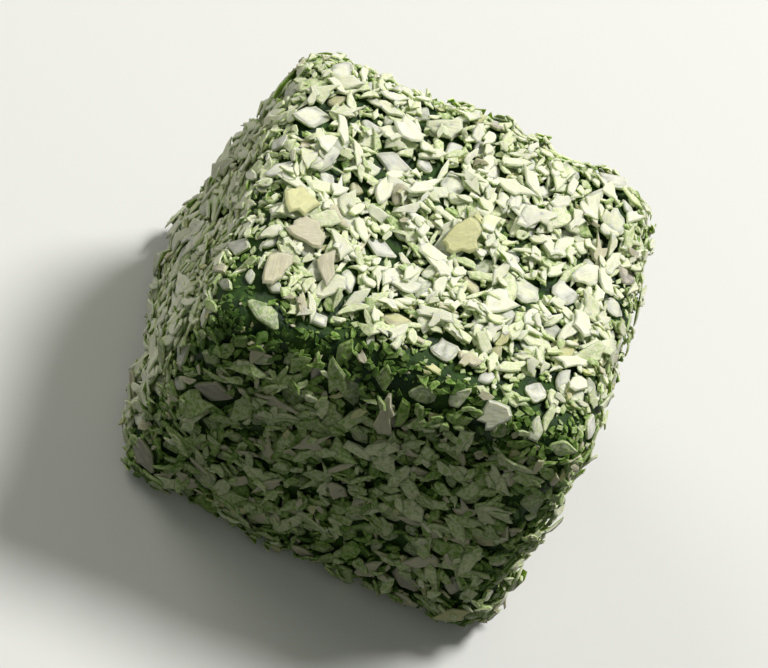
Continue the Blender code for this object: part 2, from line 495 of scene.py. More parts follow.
@functools.cache
def chip_places():
    """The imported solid's chips: where each lies, its outline, its size and its matrix."""
    skin = jelly_skin()
    rng = random.Random(CHIP_SEED)
    areas = face_areas(skin.size, UPRIGHT_AND_TOP)
    placed = []
    for index in range(CHIP_COUNT):
        long = CHIP_LONGEST * (CHIP_SHORTEST / CHIP_LONGEST) ** (index / CHIP_COUNT)
        long *= rng.uniform(*CHIP_UNEVEN_LENGTH)
        broad = long * rng.uniform(*CHIP_BREADTH_SHARE)
        reach = math.sqrt(long * broad) / 2
        for _ in range(MOST_TRIES):
            face = rng.choices(UPRIGHT_AND_TOP, areas)[0]
            s, t = rng.uniform(-1, 1), rng.uniform(-1, 1)
            point = skin.on_face(face, s, t)
            room = CHIP_EDGE_ROOM + min(1 - abs(s), 1 - abs(t)) * min(skin.size) / 2
            clear = reach < room and all(
                (point - chip["point"]).length > CHIP_SPREAD * (reach + chip["reach"])
                for chip in placed
            )
            if clear and point.z > 2 * CHIP_FLOOR_GAP:
                placed.append(
                    {
                        "face": face,
                        "s": s,
                        "t": t,
                        "point": point,
                        "length": long,
                        "breadth": broad,
                        "reach": reach,
                    }
                )
                break
    for chip in placed:
        corners = rng.choice(CHIP_CORNERS)
        chip["outline"] = [rng.uniform(*CHIP_OUTLINE) for _ in range(corners)]
        across, normal = skin.slopes(chip["face"], chip["s"], chip["t"])
        chip["matrix"] = (
            Matrix.Translation(chip["point"])
            @ normal.to_track_quat("Z", "Y").to_matrix().to_4x4()
            @ Matrix.Rotation(rng.uniform(0, 2 * math.pi), 4, "Z")
            @ Matrix.Rotation(rng.uniform(-CHIP_TILT, CHIP_TILT), 4, "Y")
            @ Matrix.Rotation(rng.uniform(-CHIP_TILT, CHIP_TILT), 4, "X")
        )
    return placed


class Coat:
    """How high the coconut already lies on each face, so that a new flake rests on the rest."""

    def __init__(self, skin):
        self.skin = skin
        self.heights = {}
        self.chips = {}
        for face in ALL_FACES:
            counts = [int(size / COAT_CELL) + 1 for size in self.extent(face)]
            self.heights[face] = np.zeros(counts)
            self.chips[face] = np.zeros(counts, bool)
        for chip in chip_places():
            across, normal = skin.slopes(chip["face"], chip["s"], chip["t"])
            grain = chip["matrix"].col[0].to_3d()
            turn = math.atan2(grain.dot(normal.cross(across)), grain.dot(across))
            size = (chip["length"] * CHIP_COVER, chip["breadth"] * CHIP_COVER)
            cells, _, _, inside = self.under(chip["face"], chip["s"], chip["t"], turn, size)
            self.chips[chip["face"]][cells] |= inside
            part = self.heights[chip["face"]][cells]
            part[inside] = np.maximum(part[inside], CHIP_TOP)

    def extent(self, face):
        """The width and height of a face, along its two coordinates."""
        return [size for axis, size in enumerate(self.skin.size) if axis != face[0]]

    def handed(self, face):
        """1 where the face's two coordinates and its normal are right-handed, or else -1."""
        axis, side = face
        return side if axis != 1 else -side

    def under(self, face, s, t, turn, size):
        """The cells round a flake: their slices, their places on it, and which it covers."""
        counts = self.heights[face].shape
        reach = int(max(size) / 2 / COAT_CELL) + 1
        middle = [(c + 1) / 2 * (n - 1) for c, n in zip((s, t), counts)]
        spans = [
            (max(0, int(m) - reach), min(n, int(m) + reach + 1))
            for m, n in zip(middle, counts)
        ]
        cells = tuple(slice(low, high) for low, high in spans)
        right = (np.arange(*spans[0]) - middle[0])[:, None] * COAT_CELL
        up = (np.arange(*spans[1]) - middle[1])[None, :] * COAT_CELL * self.handed(face)
        x = right * math.cos(turn) + up * math.sin(turn)
        y = up * math.cos(turn) - right * math.sin(turn)
        inside = (2 * x / size[0]) ** 2 + (2 * y / size[1]) ** 2 < 1
        return cells, x, y, inside

    def settle(self, face, s, t, turn, size, limit, most_on_chips=MOST_ON_CHIPS):
        """Lets a flake come to rest. Returns its height and its slopes, or None if it can't."""
        cells, x, y, inside = self.under(face, s, t, turn, size)
        on_chips = (self.chips[face][cells] & inside).sum()
        if inside.sum() < FEWEST_CELLS or on_chips > most_on_chips * inside.sum():
            return None
        part = self.heights[face][cells]
        under, x, y = part[inside], x[inside], y[inside]
        rise_x = float((x * (under - under.mean())).sum() / ((x * x).sum() + TINY))
        rise_y = float((y * (under - under.mean())).sum() / ((y * y).sum() + TINY))
        rise_x = max(-STEEPEST, min(STEEPEST, rise_x))
        rise_y = max(-STEEPEST, min(STEEPEST, rise_y))
        plane = rise_x * x + rise_y * y
        bottom = float(under.mean() + BED_ROUGHNESS * (under - plane).std())
        if bottom + size[2] > limit:
            return None
        part[inside] = np.maximum(under, bottom + CURL_ROOM * size[2] + plane)
        return bottom + size[2] / 2, rise_x, rise_y

    def close(self, face, s, t, turn, size):
        """Keeps whatever is laid later off a flake."""
        cells, _, _, inside = self.under(face, s, t, turn, size)
        self.heights[face][cells][inside] = 2 * LOOSE_LIMIT


@functools.cache
def coat():
    """The one coat that every kind of loose coconut adds to."""
    return Coat(jelly_skin())


def finish_piece(obj):
    """A finished piece rides on the sweet and stands for its solid, which it hides."""
    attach(obj, "root")
    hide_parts(NODE)


def new_piece(name, bm, material):
    """Makes a mesh object of a bmesh, its faces pointing out."""
    bm.normal_update()
    bmesh.ops.recalc_face_normals(bm, faces=bm.faces[:])
    mesh = bpy.data.meshes.new(name)
    bm.to_mesh(mesh)
    bm.free()
    mesh.materials.append(material)
    obj = bpy.data.objects.new(name, mesh)
    bpy.context.scene.collection.objects.link(obj)
    return obj


def node_maker(tree):
    """Adds a node to a tree, with values or links for its sockets, and its properties."""

    def add(kind, inputs=(), **properties):
        node = tree.nodes.new(kind)
        for name, value in properties.items():
            setattr(node, name, value)
        for socket, value in dict(inputs).items():
            if isinstance(value, bpy.types.NodeSocket):
                tree.links.new(value, node.inputs[socket])
            else:
                node.inputs[socket].default_value = value
        return node

    return add


def new_material(name):
    """A material with its Principled shader, the maker of its nodes and its links."""
    material = bpy.data.materials.new(name)
    material.use_nodes = True
    tree = material.node_tree
    shader = tree.nodes["Principled BSDF"]
    return material, shader, node_maker(tree), tree.links


def ramp_stops(ramp, stops):
    """Sets a colour ramp's stops, given as positions and colours."""
    elements = ramp.color_ramp.elements
    while len(elements) < len(stops):
        elements.new(1.0)
    for element, (position, colour) in zip(elements, stops):
        element.position = position
        element.color = (*colour, 1.0)


def span(add, value, low, high, to_low, to_high):
    """Maps a value from one range to another, and returns the result's socket."""
    limits = {"From Min": low, "From Max": high, "To Min": to_low, "To Max": to_high}
    return add("ShaderNodeMapRange", {"Value": value, **limits}).outputs["Result"]


@functools.cache
def jelly_material():
    """Moist green jelly, dulled in patches by starch and the finest coconut."""
    settings = bpy.context.scene.mint_jelly
    material, shader, add, links = new_material("mint_jelly")
    place = add("ShaderNodeTexCoord").outputs["Object"]
    dulled = add(
        "ShaderNodeTexNoise", {"Vector": place, "Scale": 700, "Detail": 4, "Roughness": 0.6}
    ).outputs["Fac"]
    ramp = add("ShaderNodeValToRGB", {"Fac": dulled})
    ramp_stops(ramp, ((0.42, settings.deep_green), (0.68, settings.pale_green)))
    grit = add("ShaderNodeTexNoise", {"Vector": place, "Scale": 2600, "Detail": 3})
    bump = add(
        "ShaderNodeBump",
        {"Height": grit.outputs["Fac"], "Strength": 0.8, "Distance": 0.14 * MM},
    )
    links.new(ramp.outputs["Color"], shader.inputs["Base Color"])
    links.new(span(add, dulled, 0.4, 0.65, 0.5, 0.8), shader.inputs["Roughness"])
    links.new(bump.outputs["Normal"], shader.inputs["Normal"])
    shader.inputs["Subsurface Weight"].default_value = 0.15
    shader.inputs["Subsurface Radius"].default_value = (0.5, 1.0, 0.15)
    shader.inputs["Subsurface Scale"].default_value = 0.6 * MM
    shader.inputs["Specular IOR Level"].default_value = 0.2
    return material


@functools.cache
def coconut_material():
    """Coconut, each flake with its own shade and faint grain, painted shade under each flake, and
    green specks on the greener flakes.
    """
    settings = bpy.context.scene.coconut
    material, shader, add, links = new_material("coconut")
    shade = add("ShaderNodeAttribute", attribute_name="shade").outputs["Fac"]
    rim = add("ShaderNodeAttribute", attribute_name="rim").outputs["Fac"]
    grain = add("ShaderNodeAttribute", attribute_name="grain").outputs["Vector"]
    place = add("ShaderNodeTexCoord").outputs["Object"]
    between = [(a + b) / 2 for a, b in zip(settings.tinted, settings.cream)]
    tone = add("ShaderNodeValToRGB", {"Fac": shade})
    ramp_stops(
        tone,
        (
            (0.0, settings.soaked),
            (0.13, settings.tinted),
            (0.34, between),
            (0.57, settings.cream),
            (0.88, settings.white),
            (0.92, settings.yellow),
            (0.955, settings.yellow),
            (0.975, settings.rosy),
        ),
    )
    streaks = add(
        "ShaderNodeTexNoise",
        {"Vector": grain, "Scale": 3.0, "Detail": 3, "Roughness": 0.6},
    ).outputs["Fac"]
    mottle = add(
        "ShaderNodeTexNoise", {"Vector": place, "Scale": 1500, "Detail": 2}
    ).outputs["Fac"]
    streaked = span(add, streaks, 0.3, 0.7, 0.89, 1.06)
    mottled = span(add, mottle, 0.3, 0.7, 0.92, 1.06)
    both = add("ShaderNodeMath", {0: streaked, 1: mottled}, operation="MULTIPLY")
    # Painted shade under each flake: the lower a point lies on it, the more the tint darkens it,
    # partly a green stain
    undersides = add("ShaderNodeMath", {0: rim, 1: rim}, operation="MULTIPLY")
    # The greener a flake is, the more green specks have seeped in to it, so they gather where the
    # shade is painted too
    specks = add(
        "ShaderNodeTexNoise", {"Vector": place, "Scale": 3200, "Detail": 3, "Roughness": 0.6}
    ).outputs["Fac"]
    seeped = span(add, specks, 0.45, 0.6, 0.0, 0.88)
    moist = span(add, shade, 0.25, 0.75, 1.0, 0.0)
    patches = add("ShaderNodeMath", {0: seeped, 1: moist}, operation="MULTIPLY")
    shaded_and_stained = add(
        "ShaderNodeMath",
        {0: undersides.outputs["Value"], 1: patches.outputs["Value"]},
        operation="MAXIMUM",
    ).outputs["Value"]
    rimmed = add(
        "ShaderNodeMix",
        {
            "Factor": shaded_and_stained,
            FIRST_COLOUR: tone.outputs["Color"],
            SECOND_COLOUR: (*settings.shade_and_stain_tint, 1),
        },
        data_type="RGBA",
        blend_type="MULTIPLY",
    )
    coloured = add(
        "ShaderNodeMix",
        {
            "Factor": 1.0,
            FIRST_COLOUR: rimmed.outputs[MIXED],
            SECOND_COLOUR: both.outputs["Value"],
        },
        data_type="RGBA",
        blend_type="MULTIPLY",
    )
    relief = add("ShaderNodeMath", {0: streaks, 1: mottle}, operation="ADD")
    bump = add(
        "ShaderNodeBump",
        {"Height": relief.outputs["Value"], "Strength": 0.6, "Distance": 0.07 * MM},
    )
    links.new(coloured.outputs[MIXED], shader.inputs["Base Color"])
    links.new(bump.outputs["Normal"], shader.inputs["Normal"])
    shader.inputs["Roughness"].default_value = 0.55
    shader.inputs["Specular IOR Level"].default_value = 0.2
    shader.inputs["Subsurface Weight"].default_value = 0.5
    shader.inputs["Subsurface Radius"].default_value = (0.85, 1.0, 0.4)
    shader.inputs["Subsurface Scale"].default_value = 0.35 * MM
    return material


def raise_face(bm, face, share, height):
    """Extrudes a face that lies flat, narrowed to a share of its size, and returns its new top."""
    extruded = bmesh.ops.extrude_face_region(bm, geom=[face])["geom"]
    rim = [part for part in extruded if isinstance(part, bmesh.types.BMVert)]
    top = next(part for part in extruded if isinstance(part, bmesh.types.BMFace))
    middle = Matrix.Translation(-top.calc_center_median())
    bmesh.ops.scale(bm, verts=rim, vec=(share, share, 1), space=middle)
    bmesh.ops.translate(bm, verts=rim, vec=(0, 0, height))
    return top


def soften_corners(bm, verts, offset, segments):
    """Cuts the corners of a flat outline."""
    return bmesh.ops.bevel(
        bm,
        geom=verts,
        offset=offset,
        affect="VERTICES",
        segments=segments,
        profile=0.5,
        material=-1,
    )


def noise_place(rng, room):
    """A place in a noise that one flake takes its unevenness from."""
    return Vector((rng.uniform(0, room), rng.uniform(0, room), 0))


def flake_shape(rng, name, corners, softness, bend):
    """One flake of unit length, breadth and thickness. Softness rounds its rim and corners."""
    bm = bmesh.new()
    ring = bmesh.ops.create_circle(bm, cap_ends=True, segments=corners, radius=OUTLINE_RADIUS)
    taper = rng.uniform(-MOST_TAPER, MOST_TAPER)
    skew = rng.uniform(-MOST_SKEW, MOST_SKEW)
    lobes = noise_place(rng, NOISE_ROOM)
    for vert in ring["verts"]:
        lobe = 1 + LOBE_DEPTH * noise.noise(vert.co * LOBE_COUNT + lobes)
        vert.co *= lobe * rng.uniform(*OUTLINE_JITTER)
        swing = rng.uniform(-CORNER_SWING, CORNER_SWING) / corners
        vert.co.rotate(Matrix.Rotation(swing, 3, "Z"))
        vert.co.y = vert.co.y * (1 + taper * vert.co.x) + skew * vert.co.x
    top = bm.faces[:][0]
    for share, rise in LID_STEPS[softness]:
        top = raise_face(bm, top, share, rise)
    twist = rng.uniform(-bend, bend)
    grain = bm.verts.layers.float_vector.new("grain")
    rim = bm.verts.layers.float.new("rim")
    offset = noise_place(rng, NOISE_ROOM)
    for vert in bm.verts:
        stretched = Vector((vert.co.x * GRAIN_ALONG, vert.co.y * GRAIN_ACROSS, vert.co.z))
        vert[grain] = stretched + offset
        # How low a point lies, by which the flake's underside is painted in shade, partly a green
        # stain
        vert[rim] = 1 - vert.co.z
        flat = Vector((vert.co.x, vert.co.y, 0))
        curl = bend * (END_RISE * flat.x**2 - MIDDLE_DIP)
        curl += CORNER_TWIST * twist * flat.x * flat.y
        crumple = CRUMPLE * bend * noise.noise(flat * CRUMPLE_COUNT + offset)
        # The middle of its unit thickness lies at the origin
        vert.co.z += curl + crumple - 0.5
    shape = new_piece(name, bm, coconut_material())
    shape.data.shade_smooth()
    shape.data.set_sharp_from_angle(angle=rng.choice(CREASES))
    bpy.context.scene.collection.objects.unlink(shape)
    return shape


def scatter_tree(shapes):
    """Geometry nodes that put one of the shapes on each point, and make them one mesh."""
    tree = bpy.data.node_groups.new("scatter_coconut", "GeometryNodeTree")
    for direction in ("INPUT", "OUTPUT"):
        tree.interface.new_socket(
            "Geometry", in_out=direction, socket_type="NodeSocketGeometry"
        )
    add = node_maker(tree)

    def attribute(name, data_type):
        node = add("GeometryNodeInputNamedAttribute", {"Name": name}, data_type=data_type)
        return node.outputs["Attribute"]

    turned = add("FunctionNodeEulerToRotation", {"Euler": attribute("turn", "FLOAT_VECTOR")})
    source = add(
        "GeometryNodeCollectionInfo",
        {"Collection": shapes, "Separate Children": True, "Reset Children": True},
    )
    laid = add(
        "GeometryNodeInstanceOnPoints",
        {
            "Points": add("NodeGroupInput").outputs["Geometry"],
            "Instance": source.outputs["Instances"],
            "Pick Instance": True,
            "Instance Index": attribute("kind", "INT"),
            "Rotation": turned.outputs["Rotation"],
            "Scale": attribute("size", "FLOAT_VECTOR"),
        },
    )
    joined = add("GeometryNodeRealizeInstances", {"Geometry": laid.outputs["Instances"]})
    add("NodeGroupOutput", {"Geometry": joined.outputs["Geometry"]})
    return tree


def bareness(skin, point):
    """How bare the top's front and left edges and thin patches leave a point, from 0 up."""
    front = point.y + skin.size.y / 2
    below = skin.size.z - point.z
    left = point.x + skin.size.x / 2
    edge = math.exp(-((front - BARE_FRONT_INSET) ** 2 + below**2) / BARE_FRONT_REACH**2)
    edge *= 1 - BARE_FRONT_FADE * left / skin.size.x
    corner = math.exp(-(front**2 + below**2 + left**2) / BARE_CORNER_REACH**2)
    brim = math.exp(-((left - BARE_LEFT_INSET) ** 2 + below**2) / BARE_LEFT_REACH**2)
    brim *= BARE_LEFT_SHARE * max(0.0, 1 - front / skin.size.y)
    patch = noise.noise(point / BARE_PATCH_SIZE + LUMP_OFFSET)
    edges = max(edge, corner, brim) * (1 + patch)
    return max(0.0, edges, BARE_PATCH_SHARE * patch)


def coverage(skin, point):
    """The share of the coconut that sticks at a point, from 0 to 1."""
    gap = noise.noise(point / BARE_GAP_SIZE + LUMP_OFFSET)
    return max(0.0, 1 - bareness(skin, point) - BARE_GAP_SHARE * max(0.0, gap))


def pick_shade(rng, height_share, moist, green, odd_share):
    """A flake's shade: greener and darker where it lies deep, which is partly soaked green and
    partly painted shade, greener where it soaks up green, or else an odd one.
    """
    draw = rng.random()
    if draw < odd_share:
        return YELLOW_SHADE
    if draw < (1 + DRY_ROSY + MOIST_SHADED_ROSY * moist) * odd_share:
        return ROSY_SHADE
    usual = LOW_SHADE + SHADE_RISE * height_share - green
    spread = SHADE_SPREAD - GREEN_CALM * min(green, MOST_CALMED)
    return min(PALEST, max(GREENEST, rng.gauss(usual, spread)))


def moist_shaded_facing(normal):
    """How much a patch of the skin faces the moist front side, which is also painted in shade,
    from 0 to 1.
    """
    return max(0.0, normal.dot(MOIST_SHADED_SIDE))


def soaked_and_shaded_green(skin, point, moist):
    """How much green a flake takes up: from moist neighbours and jelly that lies bare, and partly
    painted shade on the front side and the top's front edge.
    """
    return MOIST_SHADED_GREEN * moist + BARE_GREEN * max(0.0, bareness(skin, point) - BARE_ENOUGH)


class ScatterCoconut:
    """What the operators share that scatter one kind of coconut over the jelly."""

    # How many shapes a kind has, and how many of the first are kept for flakes that stand out
    shapes = 16
    special = 0
    corners = (6, 7)
    softness = 1
    bend = 0.8
    thickness = (0.13 * MM, 0.21 * MM)
    extra_tilt = 4
    shorter_bias = 1.0
    odd_share = 0.03
    on_bare = False

    # The green that the kind has everywhere, and how readily it takes up more
    soaked = 0.0
    greening = 1.0

    def execute(self, context):
        """Makes the kind's shapes, drops its flakes, and joins them in one piece."""
        settings = context.scene.coconut
        rng = random.Random(self.seed)
        shapes = bpy.data.collections.new(f"{self.piece}_shapes")
        for index in range(self.shapes):
            name = f"{self.piece}_{index:02d}"
            # The first shapes of a kind are its flattest
            bend = rng.uniform(-self.bend, self.bend)
            bend *= FLATTEST_BEND + (1 - FLATTEST_BEND) * index / self.shapes
            corners = LANDMARK_CORNERS if index < self.special else rng.choice(self.corners)
            shape = flake_shape(rng, name, corners, self.softness, bend)
            shapes.objects.link(shape)
        points = self.points(
            rng,
            getattr(settings, f"{self.kind}_count"),
            getattr(settings, f"{self.kind}_length"),
        )
        points.modifiers.new("scatter", "NODES").node_group = scatter_tree(shapes)
        graph = bpy.context.evaluated_depsgraph_get()
        joined = bpy.data.meshes.new_from_object(points.evaluated_get(graph))
        joined.name = self.piece
        for vert in joined.vertices:
            # The sweet's weight presses what lies under it flat on the floor
            vert.co.z = max(vert.co.z, PRESSED_FLAT)
        for obj in [points, *shapes.objects]:
            bpy.data.objects.remove(obj)
        bpy.data.collections.remove(shapes)
        piece = bpy.data.objects.new(self.piece, joined)
        context.scene.collection.objects.link(piece)
        finish_piece(piece)
        return {"FINISHED"}

    def points(self, rng, count, lengths):
        """A mesh of points, each with the shape, turn, size and shade of the flake there."""
        bm = bmesh.new()
        kind = bm.verts.layers.int.new("kind")
        turn = bm.verts.layers.float_vector.new("turn")
        size = bm.verts.layers.float_vector.new("size")
        shade = bm.verts.layers.float.new("shade")
        for flake in self.flakes(rng, count, lengths):
            vert = bm.verts.new(flake["point"])
            vert[kind] = flake["kind"]
            vert[turn] = Vector(flake["turn"])
            vert[size] = flake["size"]
            vert[shade] = flake["shade"]
        mesh = bpy.data.meshes.new("points")
        bm.to_mesh(mesh)
        bm.free()
        points = bpy.data.objects.new("points", mesh)
        bpy.context.scene.collection.objects.link(points)
        return points

    def flakes(self, rng, count, lengths):
        """Drops the flakes on the coat, and yields each that comes to rest."""
        skin = jelly_skin()
        areas = face_areas(skin.size, ALL_FACES)
        shortest, longest = lengths
        for _ in range(count):
            face = rng.choices(ALL_FACES, areas)[0]
            s, t = rng.uniform(-1, 1), rng.uniform(-1, 1)
            turn = rng.uniform(0, 2 * math.pi)
            long = shortest + (longest - shortest) * rng.random() ** self.shorter_bias
            broad = long * rng.uniform(*self.breadth_share)
            size = Vector((long, broad, rng.uniform(*self.thickness)))
            if max(abs(s), abs(t)) > EDGE_ZONE and long > EDGE_LONGEST:
                continue
            point = skin.on_face(face, s, t)
            # A long flake falls off a bare place more readily than a crumb
            share = coverage(skin, point)
            chance = 1 - share if self.on_bare else share ** (long / FIRM_LENGTH)
            if rng.random() > chance:
                continue
            limit = COAT_LIMIT * (1 + COAT_WAVE * noise.noise(point / COAT_WAVE_SIZE))
            rest = coat().settle(face, s, t, turn, size, limit)
            if rest:
                yield self.laid(rng, face, (s, t), point, turn, size, rest)

    def laid(self, rng, face, place, point, turn, size, rest):
        """Where a flake lies that came to rest, clear of the floor."""
        across, normal = jelly_skin().slopes(face, *place)
        height, rise_x, rise_y = rest
        tilt = math.radians(self.extra_tilt)
        matrix = Matrix((across, normal.cross(across), normal)).transposed()
        underneath = normal.z < FLAT_BELOW
        if underneath:
            # Pressed flat and flush by the sweet's weight
            matrix = Matrix.Rotation(math.pi, 3, "X")
            rise_x, rise_y, tilt = 0, 0, 0
            point.z = size.z + rng.uniform(*UNDERSIDE_SPREAD) * MM
        else:
            point += normal * height
        matrix = (
            matrix
            @ Matrix.Rotation(turn, 3, "Z")
            @ Matrix.Rotation(rng.uniform(-tilt, tilt) - math.atan(rise_x), 3, "Y")
            @ Matrix.Rotation(rng.uniform(-tilt, tilt) + math.atan(rise_y), 3, "X")
        )
        hang = sum(abs(matrix[2][axis]) * size[axis] * HANG_SHARE for axis in range(3))
        if point.z < hang and not underneath:
            point.z = hang + rng.uniform(*FOOT_SPREAD) * MM
        # The front side's coconut is painted greener and darker: partly moist, partly painted
        # shade
        moist = moist_shaded_facing(normal)
        green = self.soaked + self.greening * soaked_and_shaded_green(jelly_skin(), point, moist)
        return {
            "point": point,
            "kind": rng.randrange(self.special, self.shapes),
            "turn": matrix.to_euler(),
            "size": size,
            # Deeper flakes get a greener, darker shade, partly as painted shade
            "shade": pick_shade(rng, height / COAT_LIMIT, moist, green, self.odd_share),
        }


class DELIGHT_OT_jelly(bpy.types.Operator):
    """Make the block of mint jelly"""

    bl_idname = "delight.jelly"
    bl_label = "Mint jelly"

    def execute(self, context):
        skin = jelly_skin()
        bm = bmesh.new()
        bmesh.ops.create_cube(bm, size=2)
        bmesh.ops.subdivide_edges(
            bm, edges=bm.edges[:], cuts=JELLY_FACETS - 1, use_grid_fill=True
        )
        for vert in bm.verts:
            # The sine gives the rounded edges more facets than the flat middles
            vert.co = skin.at(Vector(math.sin(c * math.pi / 2) for c in vert.co))
            vert.co += skin.lumpy(vert.co, DIMPLES)
            vert.co.z = max(vert.co.z, BASE_RISE)
        block = new_piece("jelly", bm, jelly_material())
        block.data.shade_smooth()
        finish_piece(block)
        return {"FINISHED"}


class DELIGHT_OT_chips(bpy.types.Operator):
    """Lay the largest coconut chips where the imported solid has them"""

    bl_idname = "delight.chips"
    bl_label = "Coconut chips"

    def execute(self, context):
        thickness = context.scene.coconut.chip_thickness
        rng = random.Random(CHIP_FINISH_SEED)
        bm = bmesh.new()
        grain = bm.verts.layers.float_vector.new("grain")
        shade = bm.verts.layers.float.new("shade")
        rim = bm.verts.layers.float.new("rim")
        for chip in chip_places():
            before = len(bm.verts)
            ring = bmesh.ops.create_circle(
                bm, cap_ends=True, segments=len(chip["outline"]), radius=0.5
            )
            for vert, uneven in zip(ring["verts"], chip["outline"]):
                flat = Vector((vert.co.x * chip["length"], vert.co.y * chip["breadth"], 0))
                vert.co = flat * uneven * CHIP_TRIM
            cut = rng.uniform(*CHIP_CORNER_CUT) * MM
            outline = soften_corners(bm, ring["verts"], cut, 2)
            bend = rng.uniform(*CHIP_BEND)
            # The front side's coconut is painted greener and darker: partly moist, partly painted
            # shade
            moist = moist_shaded_facing(chip["matrix"].col[2].to_3d())
            green = soaked_and_shaded_green(jelly_skin(), chip["point"], moist)
            tone = pick_shade(rng, CHIP_HEIGHT_SHARE, moist, green, CHIP_ODD_SHARE)
            offset = noise_place(rng, CHIP_NOISE_ROOM)
            for vert in outline["verts"]:
                lobe = noise.noise(vert.co / CHIP_LOBE_SIZE + offset)
                vert.co *= CHIP_LOBE_MEAN + CHIP_LOBE_DEPTH * lobe
            top = outline["verts"][0].link_faces[0]
            for share, rise in CHIP_LID_STEPS:
                top = raise_face(bm, top, share, rise * thickness)
            bm.verts.ensure_lookup_table()
            verts = bm.verts[before:]
            for vert in verts:
                along, across = vert.co.x * CHIP_GRAIN[0], vert.co.y * CHIP_GRAIN[1]
                vert[grain] = Vector((along, across, 0)) / MM + offset
                vert[shade] = tone
                # How low a point lies, by which the chip's underside is painted in shade, partly a
                # green stain
                vert[rim] = 1 - vert.co.z / thickness
                wave = noise.noise(vert.co / CHIP_WAVE_SIZE + offset) * CHIP_WAVE_DEPTH * MM
                bow = bend * vert.co.x**2 / chip["length"] * 2
                vert.co.z += bow + wave + CHIP_LIFT
                vert.co = chip["matrix"] @ vert.co
            low = min(vert.co.z for vert in verts)
            if low < CHIP_FLOOR_GAP:
                bmesh.ops.translate(bm, verts=verts, vec=(0, 0, CHIP_FLOOR_GAP - low))
        chips = new_piece("coconut_chips", bm, coconut_material())
        chips.data.shade_smooth()
        chips.data.set_sharp_from_angle(angle=CHIP_CREASE)
        finish_piece(chips)
        return {"FINISHED"}


class DELIGHT_OT_dust(ScatterCoconut, bpy.types.Operator):
    """Dust the jelly with the finest grains of coconut"""

    bl_idname = "delight.dust"
    bl_label = "Coconut dust"
    piece, kind, seed = "coconut_dust", "dust", 71
    shapes, corners, softness, bend = 8, (4,), 0, 0.2
    breadth_share = (0.5, 1.0)
    thickness = (0.1 * MM, 0.2 * MM)
    extra_tilt = 35
    odd_share = 0.01


class DELIGHT_OT_crumbs(ScatterCoconut, bpy.types.Operator):
    """Fill the gaps with small broken bits of coconut"""

    bl_idname = "delight.crumbs"
    bl_label = "Coconut crumbs"
    piece, kind, seed = "coconut_crumbs", "crumb", 53
    shapes, corners, softness, bend = 14, (4, 5), 0, 0.3
    breadth_share = (0.4, 0.9)
    thickness = (0.12 * MM, 0.22 * MM)
    extra_tilt = 12
    greening = 1.3


class DELIGHT_OT_shards(ScatterCoconut, bpy.types.Operator):
    """Lay the narrower pointed flakes"""

    bl_idname = "delight.shards"
    bl_label = "Coconut shards"
    piece, kind, seed = "coconut_shards", "shard", 29
    shapes = 32
    bend = 1.5
    breadth_share = (0.34, 0.68)
    extra_tilt = 6
    shorter_bias = 1.2


class DELIGHT_OT_slivers(ScatterCoconut, bpy.types.Operator):
    """Lay the long thin shreds of coconut"""

    bl_idname = "delight.slivers"
    bl_label = "Coconut slivers"
    piece, kind, seed = "coconut_slivers", "sliver", 37
    bend = 1.1
    breadth_share = (0.12, 0.24)
    extra_tilt = 7


class DELIGHT_OT_flakes(ScatterCoconut, bpy.types.Operator):
    """Lay the broad flakes on top of the finer coconut"""

    bl_idname = "delight.flakes"
    bl_label = "Coconut flakes"
    piece, kind, seed = "coconut_flakes", "flake", 23
    shapes = 32
    special = len(LANDMARKS)
    corners = (9, 10, 11)
    softness = 2
    bend = 1.35
    breadth_share = (0.32, 0.62)
    thickness = (0.15 * MM, 0.24 * MM)
    shorter_bias = 1.35
    odd_share = 0.02
    greening = 0.8

    def flakes(self, rng, count, lengths):
        """The scattered flakes, and last those that stand out, on top of the rest."""
        yield from super().flakes(rng, count, lengths)
        skin = jelly_skin()
        face = (2, +1)
        for kind, ((x, y), long, broad, turn, shade) in enumerate(LANDMARKS):
            place = (2 * x / skin.size.x, 2 * y / skin.size.y)
            size = Vector((long, broad, self.thickness[1]))
            height, *slopes = coat().settle(face, *place, turn, size, LOOSE_LIMIT, 1)
            rest = (height + LANDMARK_LIFT, *slopes)
            point = skin.on_face(face, *place)
            flake = self.laid(rng, face, place, point, turn, size, rest)
            coat().close(face, *place, turn, size)
            yield {**flake, "kind": kind, "shade": shade}


class DELIGHT_OT_curls(ScatterCoconut, bpy.types.Operator):
    """Lay the small thin flakes that curled as they dried"""

    bl_idname = "delight.curls"
    bl_label = "Coconut curls"
    piece, kind, seed = "coconut_curls", "curl", 83
    shapes = 24
    corners = (7, 8)
    bend = 1.8
    breadth_share = (0.4, 0.7)
    thickness = (0.11 * MM, 0.17 * MM)
    extra_tilt = 7


class DELIGHT_OT_fines(ScatterCoconut, bpy.types.Operator):
    """Strew the smallest bits on the bare places"""

    bl_idname = "delight.fines"
    bl_label = "Coconut fines"
    piece, kind, seed = "coconut_fines", "fine", 61
    shapes, corners, softness, bend = 14, (4, 5), 0, 0.3
    breadth_share = (0.3, 0.8)
    thickness = (0.06 * MM, 0.14 * MM)
    extra_tilt = 16
    odd_share = 0.01
    on_bare = True
    soaked = 0.2
    greening = 0.5


